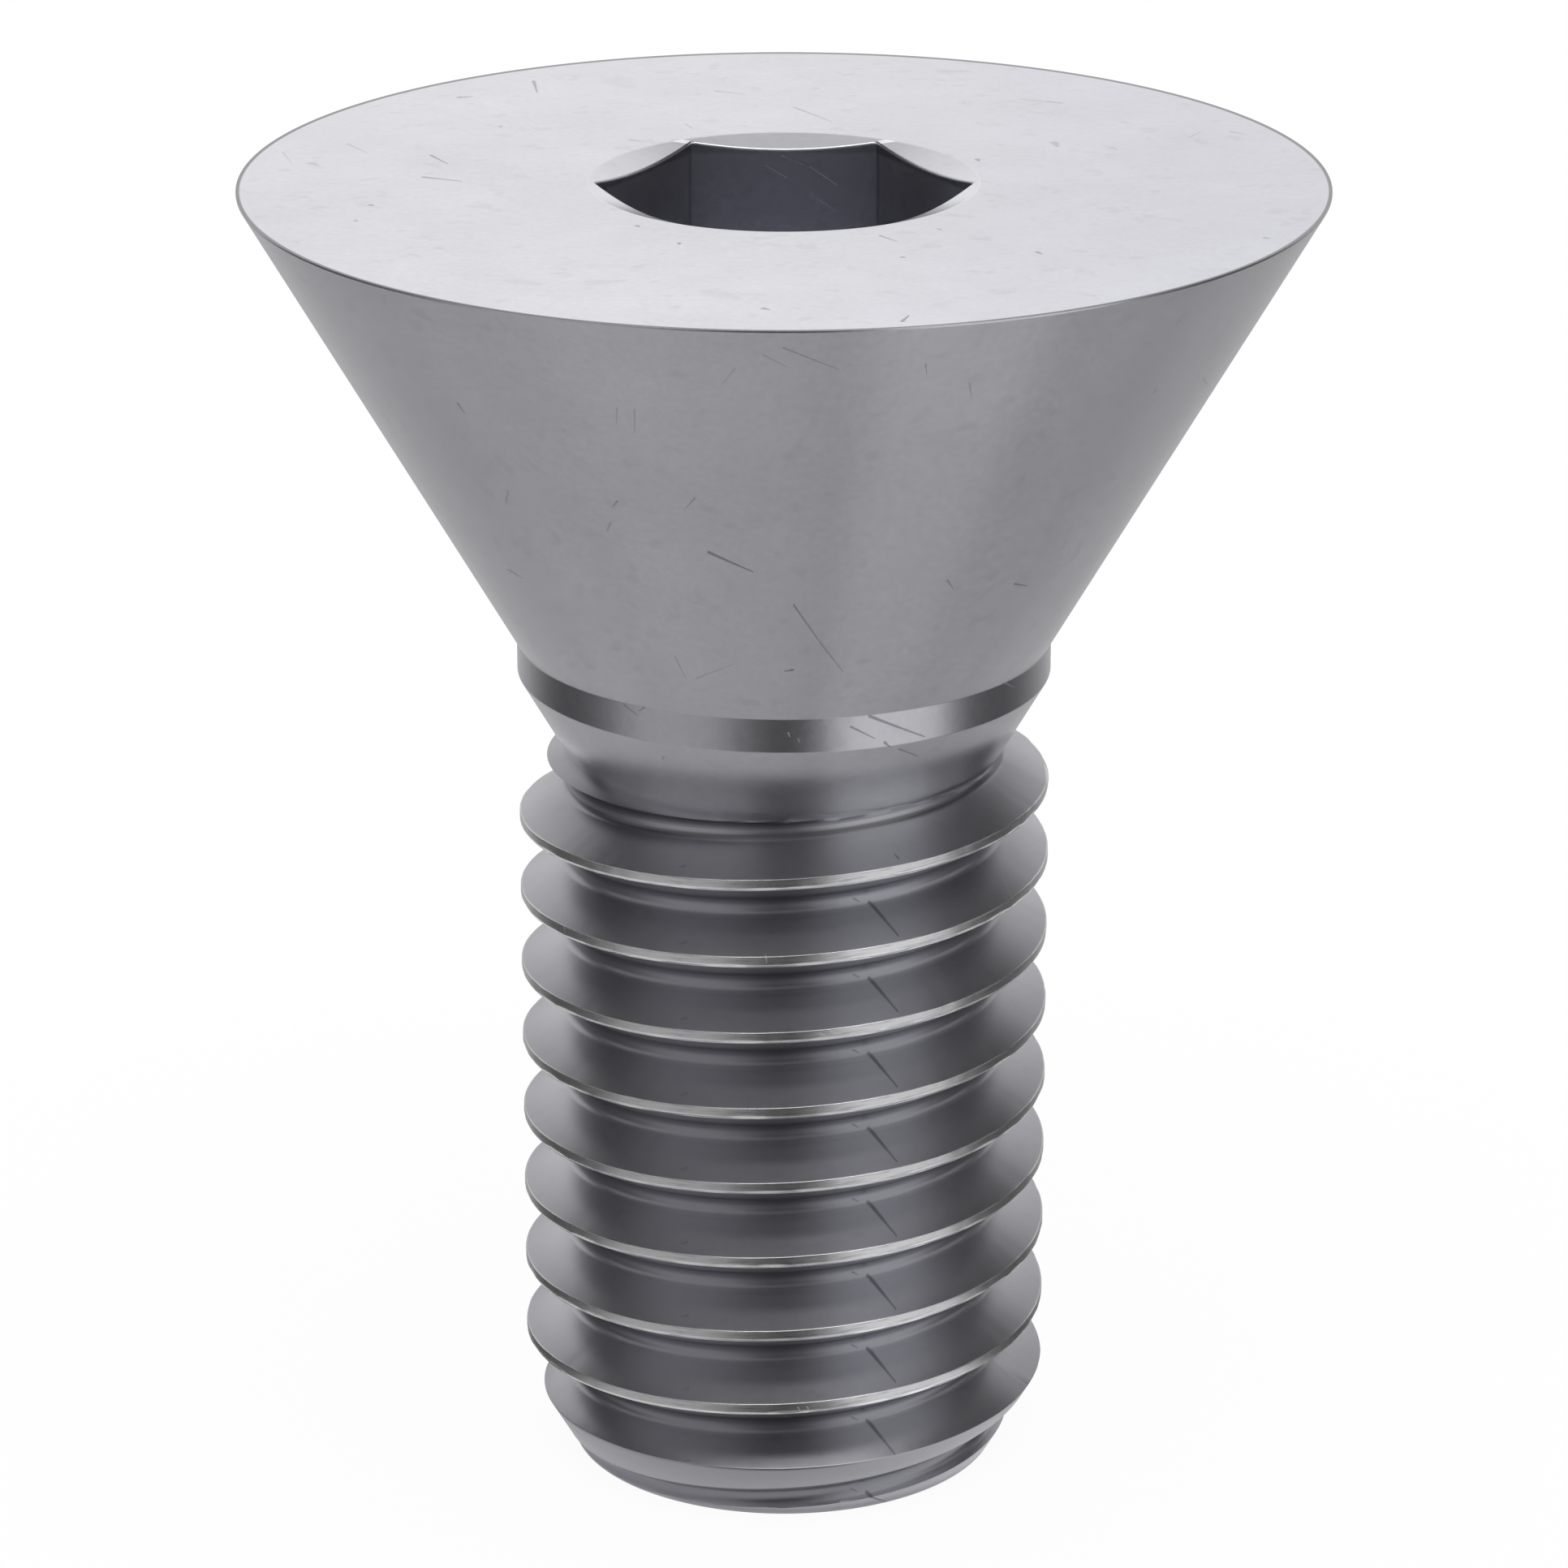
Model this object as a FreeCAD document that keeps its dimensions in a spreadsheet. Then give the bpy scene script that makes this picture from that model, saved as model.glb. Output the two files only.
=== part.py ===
import FreeCAD, Part
import os

import Sketcher

# Countersunk socket screw, one turned and thread-rolled piece of steel.
# It stands on its flat end: origin at the centre of the end face, +Z up the axis to the head.
# Millimetres and degrees. The corners of the hexagon socket point along X.

SIZES = [
    ("screw_length", 25.0, "end face to head face"),
    ("head_diameter", 20.0, "outside of the head"),
    ("head_cone_angle", 60.0, "full angle of the countersunk seat"),
    ("rim_land", 0.035, "upright edge between head face and seat"),
    ("collar_height", 0.63, "plain cylinder under the seat"),
    ("neck_angle", 30.0, "run-out cone under the collar, from the axis"),
    ("relief_face_angle", 30.0, "face where the thread starts, from the cross plane"),
    ("thread_diameter", 10.0, "outside of the thread"),
    ("thread_pitch", 1.5, "rise of one turn"),
    ("thread_flank_angle", 60.0, "full angle between the flanks"),
    ("crest_flat", 0.1875, "width of the flat on the crest"),
    ("root_flat", 0.275, "width of the flat in the root"),
    ("root_clearance", 0.02, "relief and end face below the thread's root"),
    ("end_chamfer_angle", 30.0, "cone at the end, from the axis"),
    ("socket_across_flats", 6.0, "hexagon, flat to flat"),
    ("socket_depth", 5.0, "head face to the end of the flats"),
    ("socket_pilot_step", 0.2, "pilot hole inside the flats"),
    ("socket_point_angle", 120.0, "full angle of the drilled floor"),
    ("socket_mouth_step", 0.12, "countersunk mouth outside the hexagon's corners"),
    ("socket_mouth_angle", 17.0, "mouth cone, from the head face"),
]

# Derived lengths, each one an expression on the sheet's cells.
HEAD_R = "(Sizes.head_diameter / 2)"
THREAD_R = "(Sizes.thread_diameter / 2)"
FLANK_TAN = "tan(Sizes.thread_flank_angle * 1deg / 2)"
THREAD_DEPTH = f"((Sizes.thread_pitch - Sizes.crest_flat - Sizes.root_flat) / 2 / {FLANK_TAN})"
ROOT_R = f"({THREAD_R} - {THREAD_DEPTH})"
RELIEF_R = f"({ROOT_R} - Sizes.root_clearance)"
RELIEF_DEPTH = f"({THREAD_R} - {RELIEF_R})"

TOP_Z = "Sizes.screw_length"
RIM_Z = f"({TOP_Z} - Sizes.rim_land)"
SEAT_Z = f"({RIM_Z} - ({HEAD_R} - {THREAD_R}) / tan(Sizes.head_cone_angle * 1deg / 2))"
COLLAR_Z = f"({SEAT_Z} - Sizes.collar_height)"
RELIEF_Z = f"({COLLAR_Z} - {RELIEF_DEPTH} / tan(Sizes.neck_angle * 1deg))"
START_Z = f"({RELIEF_Z} - {RELIEF_DEPTH} * tan(Sizes.relief_face_angle * 1deg))"
CHAMFER_Z = f"({RELIEF_DEPTH} / tan(Sizes.end_chamfer_angle * 1deg))"

HEXAGON_R = "(Sizes.socket_across_flats / 2 / cos(30deg))"
MOUTH_R = f"({HEXAGON_R} + Sizes.socket_mouth_step)"
PILOT_R = "(Sizes.socket_across_flats / 2 - Sizes.socket_pilot_step)"
FLOOR_Z = f"({TOP_Z} - Sizes.socket_depth)"

# The helical groove's cutter overhangs the crest by a quarter of the pitch, so that it cuts clear.
CUTTER_R = f"({THREAD_R} + Sizes.thread_pitch / 4)"
ROOT_HALF = "(Sizes.root_flat / 2)"
CUTTER_HALF = f"({ROOT_HALF} + ({CUTTER_R} - {ROOT_R}) * {FLANK_TAN})"
GROOVE_Z = "(-Sizes.thread_pitch / 2)"
GROOVE_RISE = f"({RELIEF_Z} + 2 * Sizes.thread_pitch)"


def make_sheet(doc):
    """The driving dimensions, one row each: name, value, meaning."""
    sheet = doc.addObject("Spreadsheet::Sheet", "Sizes")
    for row, (name, value, meaning) in enumerate(SIZES, start=1):
        sheet.set(f"A{row}", name)
        sheet.set(f"B{row}", str(value))
        sheet.set(f"C{row}", meaning)
        sheet.setAlias(f"B{row}", name)
    doc.recompute()
    return sheet


def origin_plane(body, role):
    """One of the body's own origin planes, found by its role."""
    return next(f for f in body.Origin.OriginFeatures if f.Role == role)


def add_sketch(body, name, role):
    sketch = body.newObject("Sketcher::SketchObject", name)
    sketch.AttachmentSupport = (origin_plane(body, role), [""])
    sketch.MapMode = "FlatFace"
    return sketch


def half_section(body, sheet, name, corners):
    """A closed outline in the XZ plane: each corner is (radius, height), both expressions."""
    sketch = add_sketch(body, name, "XZ_Plane")
    places = [
        FreeCAD.Vector(sheet.evalExpression(radius), sheet.evalExpression(height), 0)
        for radius, height in corners
    ]
    count = len(corners)
    for i in range(count):
        sketch.addGeometry(Part.LineSegment(places[i], places[(i + 1) % count]), False)
    for i in range(count):
        sketch.addConstraint(Sketcher.Constraint("Coincident", i, 2, (i + 1) % count, 1))
    for i, (radius, height) in enumerate(corners):
        for kind, expression, place in (
            ("DistanceX", radius, places[i].x),
            ("DistanceY", height, places[i].y),
        ):
            if expression == "0":
                on_axis = -2 if kind == "DistanceX" else -1
                sketch.addConstraint(Sketcher.Constraint("PointOnObject", i, 1, on_axis))
                continue
            index = sketch.addConstraint(Sketcher.Constraint(kind, -1, 1, i, 1, place))
            sketch.setExpression(f"Constraints[{index}]", expression)
    return sketch


def turn(body, kind, name, sketch):
    """A full turn of a half section about the screw's axis, adding or cutting."""
    feature = body.newObject(kind, name)
    feature.Profile = sketch
    feature.ReferenceAxis = (sketch, ["V_Axis"])
    feature.Angle = 360
    return feature


def add_shank(body, sheet):
    """Threaded length before its thread: end chamfer, crest cylinder and relief face."""
    sketch = half_section(body, sheet, "ShankSection", [
        ("0", "0"),
        (RELIEF_R, "0"),
        (THREAD_R, CHAMFER_Z),
        (THREAD_R, START_Z),
        (RELIEF_R, RELIEF_Z),
        ("0", RELIEF_Z),
    ])
    return turn(body, "PartDesign::Revolution", "Shank", sketch)


def cut_thread(body, sheet):
    """Right-hand helical groove from below the end face to above the relief.

    The crest passes the end face on the +X side. The head is added afterwards, so the
    groove runs out in the relief and leaves the neck whole.
    """
    sketch = half_section(body, sheet, "GrooveSection", [
        (ROOT_R, f"{GROOVE_Z} - {ROOT_HALF}"),
        (CUTTER_R, f"{GROOVE_Z} - {CUTTER_HALF}"),
        (CUTTER_R, f"{GROOVE_Z} + {CUTTER_HALF}"),
        (ROOT_R, f"{GROOVE_Z} + {ROOT_HALF}"),
    ])
    thread = body.newObject("PartDesign::SubtractiveHelix", "Thread")
    thread.Profile = sketch
    thread.ReferenceAxis = (sketch, ["V_Axis"])
    thread.Mode = 0
    thread.LeftHanded = False
    thread.Reversed = False
    thread.setExpression("Pitch", "Sizes.thread_pitch")
    thread.setExpression("Height", GROOVE_RISE)
    return thread


def add_head(body, sheet):
    """Neck cone, collar, countersunk seat, rim and head face."""
    sketch = half_section(body, sheet, "HeadSection", [
        ("0", RELIEF_Z),
        (RELIEF_R, RELIEF_Z),
        (THREAD_R, COLLAR_Z),
        (THREAD_R, SEAT_Z),
        (HEAD_R, RIM_Z),
        (HEAD_R, TOP_Z),
        ("0", TOP_Z),
    ])
    return turn(body, "PartDesign::Revolution", "Head", sketch)


def cut_socket(body, sheet):
    """Hexagon socket, with its corners on a construction circle and the first one on X."""
    sketch = add_sketch(body, "SocketHexagon", "XY_Plane")
    sketch.setExpression("AttachmentOffset.Base.z", TOP_Z)
    radius = float(sheet.evalExpression(HEXAGON_R))
    corners = [
        FreeCAD.Rotation(FreeCAD.Vector(0, 0, 1), 60 * i).multVec(FreeCAD.Vector(radius, 0, 0))
        for i in range(6)
    ]
    for i in range(6):
        sketch.addGeometry(Part.LineSegment(corners[i], corners[(i + 1) % 6]), False)
    centre = FreeCAD.Vector(0, 0, 0)
    circle = sketch.addGeometry(Part.Circle(centre, FreeCAD.Vector(0, 0, 1), radius), True)
    sketch.addConstraint(Sketcher.Constraint("Coincident", circle, 3, -1, 1))
    for i in range(6):
        sketch.addConstraint(Sketcher.Constraint("Coincident", i, 2, (i + 1) % 6, 1))
        sketch.addConstraint(Sketcher.Constraint("PointOnObject", i, 1, circle))
    for i in range(1, 6):
        sketch.addConstraint(Sketcher.Constraint("Equal", 0, i))
    sketch.addConstraint(Sketcher.Constraint("PointOnObject", 0, 1, -1))
    size = sketch.addConstraint(Sketcher.Constraint("Radius", circle, radius))
    sketch.setExpression(f"Constraints[{size}]", HEXAGON_R)
    socket = body.newObject("PartDesign::Pocket", "Socket")
    socket.Profile = sketch
    socket.Reversed = False
    socket.setExpression("Length", "Sizes.socket_depth")
    return socket


def cut_socket_floor(body, sheet):
    """Conical floor that the pilot drill leaves below the flats."""
    point_z = f"{FLOOR_Z} - {PILOT_R} / tan(Sizes.socket_point_angle * 1deg / 2)"
    sketch = half_section(body, sheet, "SocketFloorSection", [
        ("0", point_z),
        (PILOT_R, FLOOR_Z),
        ("0", FLOOR_Z),
    ])
    return turn(body, "PartDesign::Groove", "SocketFloor", sketch)


def cut_socket_mouth(body, sheet):
    """Shallow conical lead-in around the hexagon."""
    apex_z = f"{TOP_Z} - {MOUTH_R} * tan(Sizes.socket_mouth_angle * 1deg)"
    sketch = half_section(body, sheet, "SocketMouthSection", [
        ("0", apex_z),
        (MOUTH_R, TOP_Z),
        ("0", TOP_Z),
    ])
    return turn(body, "PartDesign::Groove", "SocketMouth", sketch)


def make_screw(doc, sheet):
    """The screw as one body. Each step has to add or remove metal, as its name says."""
    body = doc.addObject("PartDesign::Body", "Screw")
    body.Label = "countersunk_screw"
    doc.recompute()
    steps = [
        (add_shank, 1),
        (cut_thread, -1),
        (add_head, 1),
        (cut_socket, -1),
        (cut_socket_floor, -1),
        (cut_socket_mouth, -1),
    ]
    volume = 0.0
    for step, sign in steps:
        feature = step(body, sheet)
        doc.recompute()
        change = feature.Shape.Volume - volume
        if change * sign <= 0:
            raise RuntimeError(f"{feature.Label} changed the volume by {change:.4f} mm3")
        volume = feature.Shape.Volume
    body.Tip = feature
    doc.recompute()
    return body


def check(doc, parts):
    """Stops on any failed object and on any shape that isn't one valid solid."""
    for item in doc.Objects:
        if "Invalid" in item.State or "Error" in item.State:
            raise RuntimeError(f"{item.Label} failed: {item.State}")
    for part in parts:
        shape = part.Shape
        if shape.isNull() or not shape.isValid() or len(shape.Solids) != 1:
            raise RuntimeError(f"{part.Label} isn't one valid solid")


def export(parts):
    os.makedirs("parts", exist_ok=True)
    for part in parts:
        part.Shape.exportStep(os.path.join("parts", f"{part.Label}.step"))


document = FreeCAD.newDocument("CountersunkSocketScrew")
sizes = make_sheet(document)
screws = [make_screw(document, sizes)]
check(document, screws)
export(screws)
for screw in screws:
    print(f"{screw.Label}: {screw.Shape.Volume:.2f} mm3, {len(screw.Shape.Faces)} faces")
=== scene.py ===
import math

import bmesh
import bpy
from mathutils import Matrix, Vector, noise


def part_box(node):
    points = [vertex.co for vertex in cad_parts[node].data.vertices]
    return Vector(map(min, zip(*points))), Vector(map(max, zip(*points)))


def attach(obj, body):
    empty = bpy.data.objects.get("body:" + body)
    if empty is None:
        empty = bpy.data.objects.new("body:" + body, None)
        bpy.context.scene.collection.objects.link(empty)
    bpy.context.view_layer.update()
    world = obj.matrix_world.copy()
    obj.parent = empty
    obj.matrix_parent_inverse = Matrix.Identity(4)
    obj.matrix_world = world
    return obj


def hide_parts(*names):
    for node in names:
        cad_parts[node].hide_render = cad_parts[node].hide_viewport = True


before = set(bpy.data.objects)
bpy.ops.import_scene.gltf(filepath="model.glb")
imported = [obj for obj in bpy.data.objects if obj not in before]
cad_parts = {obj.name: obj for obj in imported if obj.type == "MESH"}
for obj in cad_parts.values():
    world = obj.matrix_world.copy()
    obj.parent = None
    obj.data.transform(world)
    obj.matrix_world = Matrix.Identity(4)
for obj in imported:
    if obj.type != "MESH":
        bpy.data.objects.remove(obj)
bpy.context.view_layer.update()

MM = 0.001
SCREW = "countersunk_screw"
LOW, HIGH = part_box(SCREW)

# ---------------------------------------------------------------- sizes, in millimetres
LENGTH = (HIGH.z - LOW.z) / MM
HEAD_R = (HIGH.x - LOW.x) / 2 / MM
THREAD_R = HEAD_R / 2
PITCH = 1.5
CREST_FLAT = 0.1875
ROOT_FLAT = 0.275
FLANK = math.radians(30)
RELIEF_DEPTH = 0.02
THREAD_DEPTH = (PITCH - CREST_FLAT - ROOT_FLAT) / 2 / math.tan(FLANK)
ROOT_R = THREAD_R - THREAD_DEPTH
RELIEF_R = ROOT_R - RELIEF_DEPTH
RIM_LAND = 0.035
COLLAR_HEIGHT = 0.63
SEAT_ANGLE = math.radians(30)
NECK_ANGLE = math.radians(30)
END_ANGLE = math.radians(30)
START_ANGLE = math.radians(30)

RIM_Z = LENGTH - RIM_LAND
SEAT_Z = RIM_Z - (HEAD_R - THREAD_R) / math.tan(SEAT_ANGLE)
COLLAR_Z = SEAT_Z - COLLAR_HEIGHT
RELIEF_Z = COLLAR_Z - (THREAD_R - RELIEF_R) / math.tan(NECK_ANGLE)

SOCKET_HALF = 3.0
SOCKET_DEPTH = 5.0
SOCKET_CORNER = SOCKET_HALF / math.cos(math.radians(30))
MOUTH_WIDER = 0.12
MOUTH_R = SOCKET_CORNER + MOUTH_WIDER
MOUTH_ANGLE = math.radians(17)
PILOT_NARROWER = 0.2
PILOT_R = SOCKET_HALF - PILOT_NARROWER
DRILL_ANGLE = math.radians(60)
FLOOR_Z = LENGTH - SOCKET_DEPTH
APEX_Z = FLOOR_Z - PILOT_R / math.tan(DRILL_ANGLE)

# The skin: its columns round the axis, and how far from each corner the rounding starts.
COLUMNS = 288
SOFT_EDGE = 0.03
SOCKET_EDGE = 0.036
MOUTH_SOFT = 0.03
RIM_SOFT = 0.008
COLLAR_SOFT = 0.015
FOOT_SOFT = 0.017
CREST_SOFT = 0.020
LIP_SOFT = 0.010
ROOT_SOFT = 0.125
EDGE_STEPS = 3
ROOT_STEPS = 5
EDGE_SUPPORT = 0.02
EDGE_SAG = 0.3
MERGE = 0.001
SHARP_FROM = math.radians(40)

# The ribbon of thread starts below the end and runs on past the neck. Each column is cut back by the
# end chamfer up to a third of the length, and by the face under the neck above that.
FIRST_CREST = -2 * PITCH
SPARE_TURNS = 5
CHAMFER_BELOW = LENGTH / 3
PARALLEL = 1e-9

# The lip that rolling leaves at the crest's lower edge: a row of arches, uneven in place and size.
LIP_DROP = 0.022
LIP_LOW = 0.030
LIP_HIGH = 0.040
LIP_LENGTH = 0.80
LIP_SHIFT = 0.45
LIP_SHIFT_SCALE = 0.31
LIP_SMALLEST = 0.35

# The crest's wear: an even part, a slow change along the helix, and chips.
WEAR_DEPTH = 0.010
EVEN_WEAR = 0.35
SLOW_WEAR = 0.45
SLOW_SCALE = 0.9
CHIPPING = 1.6
CHIP_SCALE = 3.1
CHIPS_FROM = 0.15


# ---------------------------------------------------------------- outlines
def softened(corners):
    """An outline of (radius, height, softness) corners, each rounded by an arc that starts that far away.

    A support point beside each arc keeps the shading of the long faces flat.
    """
    points = [corners[0][:2]]
    for before, corner, after in zip(corners, corners[1:], corners[2:]):
        here = Vector(corner[:2])
        softness = corner[2]
        if softness == 0:
            points.append(tuple(here))
            continue
        to_before = (Vector(before[:2]) - here).normalized()
        to_after = (Vector(after[:2]) - here).normalized()
        start = here + to_before * softness
        end = here + to_after * softness
        support = min(EDGE_SUPPORT, softness)
        points.append(tuple(start + to_before * support))
        points += arc(start, here, end)
        points.append(tuple(end + to_after * support))
    points.append(corners[-1][:2])
    return points


def arc(start, corner, end, steps=EDGE_STEPS):
    """Points of the arc that touches both sides of a corner at start and end."""
    half_turn = (math.pi - (start - corner).angle(end - corner)) / 2
    chord = (end - start).length / 2
    radius = chord / math.sin(half_turn)
    middle = (start + end) / 2
    inward = (middle - corner).normalized()
    centre = middle + inward * radius * math.cos(half_turn)
    points = []
    for step in range(steps + 1):
        turn = half_turn * (2 * step / steps - 1)
        across = (end - start).normalized()
        points.append(tuple(centre - inward * radius * math.cos(turn) + across * radius * math.sin(turn)))
    return points


# ---------------------------------------------------------------- thread
def thread_stations(lip):
    """One pitch of the thread from root centre to root centre: (height from the crest's centre, radius).

    The crest's lower edge is rolled over into a lip of that height. Returns the stations and, for each
    long straight side, the index of its first station.
    """
    half_pitch = PITCH / 2
    half_crest = CREST_FLAT / 2
    root_edge = half_pitch - ROOT_FLAT / 2
    corners = [
        (-half_pitch, ROOT_R, 0),
        (-root_edge, ROOT_R, ROOT_SOFT),
        (-half_crest - LIP_DROP, THREAD_R - LIP_DROP / math.tan(FLANK), LIP_SOFT),
        (-half_crest + lip, THREAD_R, LIP_SOFT),
        (half_crest, THREAD_R, CREST_SOFT),
        (root_edge, ROOT_R, ROOT_SOFT),
        (half_pitch, ROOT_R, 0),
    ]
    lower_root, lip_foot, lip_top, crest_edge, upper_root = range(1, 6)
    stations = [corners[0][:2]]
    long_sides = [0]
    for i in range(1, len(corners) - 1):
        soft = corners[i][2]
        at_root = i in (lower_root, upper_root)
        here = Vector(corners[i][:2])
        to_before = (Vector(corners[i - 1][:2]) - here).normalized()
        to_after = (Vector(corners[i + 1][:2]) - here).normalized()
        start = here + to_before * soft
        end = here + to_after * soft
        if i in (lip_foot, upper_root):
            stations.append(tuple(start + to_before * EDGE_SUPPORT))
        stations += arc(start, here, end, ROOT_STEPS if at_root else EDGE_STEPS)
        if i in (lower_root, crest_edge):
            stations.append(tuple(end + to_after * EDGE_SUPPORT))
        if i != lip_top:
            long_sides.append(len(stations) - 1)
    return stations, long_sides


def lip_height(turns):
    """Height of the rolled lip at a place along the helix: a row of uneven arches.

    The last two numbers of each place in the noise only choose a part of it.
    """
    along = turns * 2 * math.pi * THREAD_R / LIP_LENGTH
    along += LIP_SHIFT * noise.noise(Vector((along * LIP_SHIFT_SCALE, 7.1, 2.2)))
    arch = 1 - (2 * (along % 1) - 1) ** 2
    size = LIP_SMALLEST + (1 - LIP_SMALLEST) * noise.cell(Vector((math.floor(along), 3.5, 0.5)))
    return LIP_LOW + LIP_HIGH * size * arch


def envelope(z, at_end):
    """Radius that the thread is cut back to: by the end chamfer, or by the relief face above."""
    if at_end:
        return RELIEF_R + z * math.tan(END_ANGLE)
    return RELIEF_R + (RELIEF_Z - z) / math.tan(START_ANGLE)


def crest_wear(turns, edge):
    """How far the rolled crest is worn back at a place along the helix, in millimetres.

    The last two numbers of each place in the noise only choose a part of it, another for each edge.
    """
    along = turns * 2 * math.pi * THREAD_R
    slow = noise.noise(Vector((along * SLOW_SCALE, 3.7 * edge, 0.5)))
    fast = noise.noise(Vector((along * CHIP_SCALE, 1.9 * edge, 4.5)))
    return WEAR_DEPTH * (EVEN_WEAR + SLOW_WEAR * slow + CHIPPING * max(0.0, fast - CHIPS_FROM))


def thread_column(turn, pitches):
    """Heights and radii of every station up one column of the thread, cut back at both ends."""
    column = []
    for k in range(pitches):
        crest_z = FIRST_CREST + (turn + k) * PITCH
        at_end = crest_z < CHAMFER_BELOW
        wear_low = crest_wear(turn + k, -1)
        wear_high = crest_wear(turn + k, 1)
        stations, long_sides = thread_stations(lip_height(turn + k))
        points = []
        for height, radius in stations:
            if radius > THREAD_R - 2 * CREST_SOFT:
                radius -= wear_low if height < 0 else wear_high
            points.append((crest_z + height, radius))
        following = (points[0][0] + PITCH, points[0][1])
        for i, (z, radius) in enumerate(points):
            column.append((z, min(radius, envelope(z, at_end))))
            if i in long_sides:
                after = points[i + 1] if i + 1 < len(points) else following
                column += crossing(points[i], after, at_end)
    return [trimmed(z, radius) for z, radius in column]


def trimmed(z, radius):
    """(radius, height) of a station, brought in to the end edge or to the relief's bottom."""
    if z < SOFT_EDGE:
        return envelope(SOFT_EDGE, True), SOFT_EDGE
    if z > RELIEF_Z:
        return RELIEF_R, RELIEF_Z
    return radius, z


def crossing(start, after, at_end):
    """Three stations where a side of the thread meets the envelope, its edge slightly rounded.

    Where the side doesn't meet it, all three fall on an end of the side and are merged away.
    """
    gap_start = start[1] - envelope(start[0], at_end)
    gap_after = after[1] - envelope(after[0], at_end)
    change = gap_start - gap_after
    place = 0.0 if abs(change) < PARALLEL else min(max(gap_start / change, 0.0), 1.0)
    length = math.hypot(after[0] - start[0], after[1] - start[1])
    reach = min(SOFT_EDGE / length, place, 1 - place)
    found = []
    for step in (-1, 0, 1):
        share = place + step * reach
        z = start[0] + (after[0] - start[0]) * share
        radius = start[1] + (after[1] - start[1]) * share
        radius = min(radius, envelope(z, at_end))
        if step == 0:
            radius -= EDGE_SAG * reach * length
        found.append((z, radius))
    return found


def thread_skin():
    """The helical ribbon: its columns are joined to each other one pitch up at the seam."""
    pitches = int(RELIEF_Z / PITCH) + SPARE_TURNS
    columns = [thread_column(j / COLUMNS, pitches) for j in range(COLUMNS)]
    return skin(columns, len(columns[0]) // pitches)


# ---------------------------------------------------------------- head, socket and end
def hexagon_radius(angle):
    """Distance from the axis to the wall of the hexagon, whose corners point along X."""
    return SOCKET_HALF / math.cos(angle % math.radians(60) - math.radians(30))


def head_column(angle):
    """Outline from the relief under the head, over the rim and into the socket."""
    wall = hexagon_radius(angle)
    return softened([
        (RELIEF_R, RELIEF_Z, 0),
        (THREAD_R, COLLAR_Z, COLLAR_SOFT),
        (THREAD_R, SEAT_Z, COLLAR_SOFT),
        (HEAD_R, RIM_Z, RIM_SOFT),
        (HEAD_R, LENGTH, RIM_SOFT),
        (MOUTH_R, LENGTH, MOUTH_SOFT),
        (wall, LENGTH - (MOUTH_R - wall) * math.tan(MOUTH_ANGLE), SOCKET_EDGE),
        (wall, FLOOR_Z, 0),
        (PILOT_R, FLOOR_Z, 0),
        (0, APEX_Z, 0),
    ])


def end_column():
    """Outline of the flat end, out to the foot of the end chamfer."""
    return softened([
        (0, 0, 0),
        (RELIEF_R, 0, FOOT_SOFT),
        (envelope(SOFT_EDGE, True), SOFT_EDGE, 0),
    ])


def skin(columns, lift=0):
    """Points and faces of upright columns set round the axis; the seam joins `lift` points higher."""
    rows = len(columns[0])
    points = []
    for j, column in enumerate(columns):
        angle = 2 * math.pi * j / COLUMNS
        points += [(r * math.cos(angle), r * math.sin(angle), z) for r, z in column]
    faces = []
    for j in range(COLUMNS):
        seam = j == COLUMNS - 1
        right = 0 if seam else (j + 1) * rows
        up = lift if seam else 0
        for n in range(rows - 1 - up):
            faces.append((j * rows + n, right + n + up, right + n + up + 1, j * rows + n + 1))
    return points, faces


def screw_mesh():
    """The whole skin of the screw as one closed mesh, in metres."""
    angles = [2 * math.pi * j / COLUMNS for j in range(COLUMNS)]
    skins = [
        skin([end_column()] * COLUMNS),
        thread_skin(),
        skin([head_column(angle) for angle in angles]),
    ]
    points = []
    faces = []
    for some_points, some_faces in skins:
        first = len(points)
        points += some_points
        faces += [tuple(first + n for n in face) for face in some_faces]
    mesh = bpy.data.meshes.new("screw_skin")
    mesh.from_pydata([Vector(p) * MM for p in points], [], faces)
    work = bmesh.new()
    work.from_mesh(mesh)
    bmesh.ops.remove_doubles(work, verts=work.verts, dist=MERGE * MM)
    bmesh.ops.dissolve_degenerate(work, edges=work.edges, dist=MERGE * MM)
    bmesh.ops.recalc_face_normals(work, faces=work.faces)
    work.to_mesh(mesh)
    work.free()
    mesh.shade_smooth()
    mesh.set_sharp_from_angle(angle=SHARP_FROM)
    return mesh


# ---------------------------------------------------------------- shader arithmetic
# Sockets that share a name with others of their node, by number.
MIX_SHARE, MIX_FIRST, MIX_SECOND, MIX_RESULT = 0, 6, 7, 2
OBJECT_PLACE = 3
NUMBER_RESULT = 1


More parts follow.
